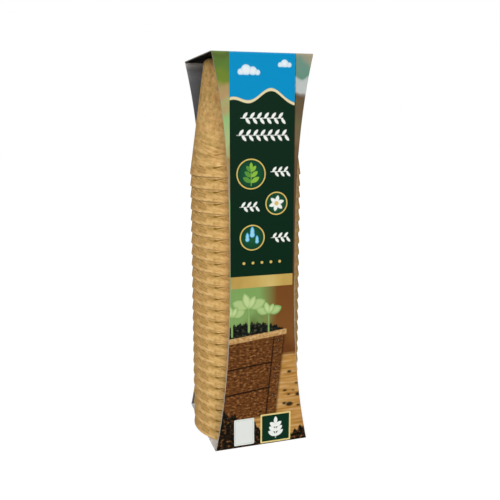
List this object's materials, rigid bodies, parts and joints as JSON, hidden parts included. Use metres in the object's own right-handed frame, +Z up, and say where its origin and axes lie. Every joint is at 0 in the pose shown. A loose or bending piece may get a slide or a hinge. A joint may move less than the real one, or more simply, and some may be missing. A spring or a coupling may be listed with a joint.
{
  "type": "pack of nested plant pots",
  "caption": "Nested stack of round tapered fibre plant pots, mouths down, in a folded card wrap with open sides and waisted front and back panels.",
  "frame": {"origin": "centre of the wrap's underside, in the middle of the bounding box's lowest face", "axes": "+Z up along the stack of pots, from mouths to bases; -Y out of the printed front panel; X across the wrap, through its two open sides"},
  "size_m": [0.06, 0.062, 0.2047],
  "materials": {
    "fibre": "matte",
    "card": "satin"
  },
  "bodies": {
    "card_wrap": {"card_wrap": "card"},
    "pot_01": {"pot_01": "fibre"},
    "pot_02": {"pot_02": "fibre"},
    "pot_03": {"pot_03": "fibre"},
    "pot_04": {"pot_04": "fibre"},
    "pot_05": {"pot_05": "fibre"},
    "pot_06": {"pot_06": "fibre"},
    "pot_07": {"pot_07": "fibre"},
    "pot_08": {"pot_08": "fibre"},
    "pot_09": {"pot_09": "fibre"},
    "pot_10": {"pot_10": "fibre"},
    "pot_11": {"pot_11": "fibre"},
    "pot_12": {"pot_12": "fibre"},
    "pot_13": {"pot_13": "fibre"},
    "pot_14": {"pot_14": "fibre"},
    "pot_15": {"pot_15": "fibre"},
    "pot_16": {"pot_16": "fibre"},
    "pot_17": {"pot_17": "fibre"},
    "pot_18": {"pot_18": "fibre"},
    "pot_19": {"pot_19": "fibre"},
    "pot_20": {"pot_20": "fibre"},
    "pot_21": {"pot_21": "fibre"},
    "pot_22": {"pot_22": "fibre"},
    "pot_23": {"pot_23": "fibre"},
    "pot_24": {"pot_24": "fibre"}
  },
  "joints": [
    {"name": "stack_slide", "type": "slide", "parent": "card_wrap", "child": "pot_01", "axis": [1, 0, 0], "range_m": [-0.062, 0.062]},
    {"name": "pot_02_turn", "type": "hinge", "parent": "pot_01", "child": "pot_02", "pos_m": [0, -0.00022, 0.00699], "axis": [0, 0, 1], "continuous": true},
    {"name": "pot_03_turn", "type": "hinge", "parent": "pot_02", "child": "pot_03", "pos_m": [0, -0.00022, 0.01323], "axis": [0, 0, 1], "continuous": true},
    {"name": "pot_04_turn", "type": "hinge", "parent": "pot_03", "child": "pot_04", "pos_m": [0, -0.00022, 0.01947], "axis": [0, 0, 1], "continuous": true},
    {"name": "pot_05_turn", "type": "hinge", "parent": "pot_04", "child": "pot_05", "pos_m": [0, -0.00022, 0.02571], "axis": [0, 0, 1], "continuous": true},
    {"name": "pot_06_turn", "type": "hinge", "parent": "pot_05", "child": "pot_06", "pos_m": [0, -0.00022, 0.03195], "axis": [0, 0, 1], "continuous": true},
    {"name": "pot_07_turn", "type": "hinge", "parent": "pot_06", "child": "pot_07", "pos_m": [0, -0.00022, 0.03819], "axis": [0, 0, 1], "continuous": true},
    {"name": "pot_08_turn", "type": "hinge", "parent": "pot_07", "child": "pot_08", "pos_m": [0, -0.00022, 0.04443], "axis": [0, 0, 1], "continuous": true},
    {"name": "pot_09_turn", "type": "hinge", "parent": "pot_08", "child": "pot_09", "pos_m": [0, -0.00022, 0.05067], "axis": [0, 0, 1], "continuous": true},
    {"name": "pot_10_turn", "type": "hinge", "parent": "pot_09", "child": "pot_10", "pos_m": [0, -0.00022, 0.05691], "axis": [0, 0, 1], "continuous": true},
    {"name": "pot_11_turn", "type": "hinge", "parent": "pot_10", "child": "pot_11", "pos_m": [0, -0.00022, 0.06316], "axis": [0, 0, 1], "continuous": true},
    {"name": "pot_12_turn", "type": "hinge", "parent": "pot_11", "child": "pot_12", "pos_m": [0, -0.00022, 0.06939], "axis": [0, 0, 1], "continuous": true},
    {"name": "pot_13_turn", "type": "hinge", "parent": "pot_12", "child": "pot_13", "pos_m": [0, -0.00022, 0.07564], "axis": [0, 0, 1], "continuous": true},
    {"name": "pot_14_turn", "type": "hinge", "parent": "pot_13", "child": "pot_14", "pos_m": [0, -0.00022, 0.08188], "axis": [0, 0, 1], "continuous": true},
    {"name": "pot_15_turn", "type": "hinge", "parent": "pot_14", "child": "pot_15", "pos_m": [0, -0.00022, 0.08812], "axis": [0, 0, 1], "continuous": true},
    {"name": "pot_16_turn", "type": "hinge", "parent": "pot_15", "child": "pot_16", "pos_m": [0, -0.00022, 0.09436], "axis": [0, 0, 1], "continuous": true},
    {"name": "pot_17_turn", "type": "hinge", "parent": "pot_16", "child": "pot_17", "pos_m": [0, -0.00022, 0.1006], "axis": [0, 0, 1], "continuous": true},
    {"name": "pot_18_turn", "type": "hinge", "parent": "pot_17", "child": "pot_18", "pos_m": [0, -0.00022, 0.10684], "axis": [0, 0, 1], "continuous": true},
    {"name": "pot_19_turn", "type": "hinge", "parent": "pot_18", "child": "pot_19", "pos_m": [0, -0.00022, 0.11308], "axis": [0, 0, 1], "continuous": true},
    {"name": "pot_20_turn", "type": "hinge", "parent": "pot_19", "child": "pot_20", "pos_m": [0, -0.00022, 0.11932], "axis": [0, 0, 1], "continuous": true},
    {"name": "pot_21_turn", "type": "hinge", "parent": "pot_20", "child": "pot_21", "pos_m": [0, -0.00022, 0.12556], "axis": [0, 0, 1], "continuous": true},
    {"name": "pot_22_turn", "type": "hinge", "parent": "pot_21", "child": "pot_22", "pos_m": [0, -0.00022, 0.1318], "axis": [0, 0, 1], "continuous": true},
    {"name": "pot_23_turn", "type": "hinge", "parent": "pot_22", "child": "pot_23", "pos_m": [0, -0.00022, 0.13804], "axis": [0, 0, 1], "continuous": true},
    {"name": "pot_24_turn", "type": "hinge", "parent": "pot_23", "child": "pot_24", "pos_m": [0, -0.00022, 0.14428], "axis": [0, 0, 1], "continuous": true}
  ]
}
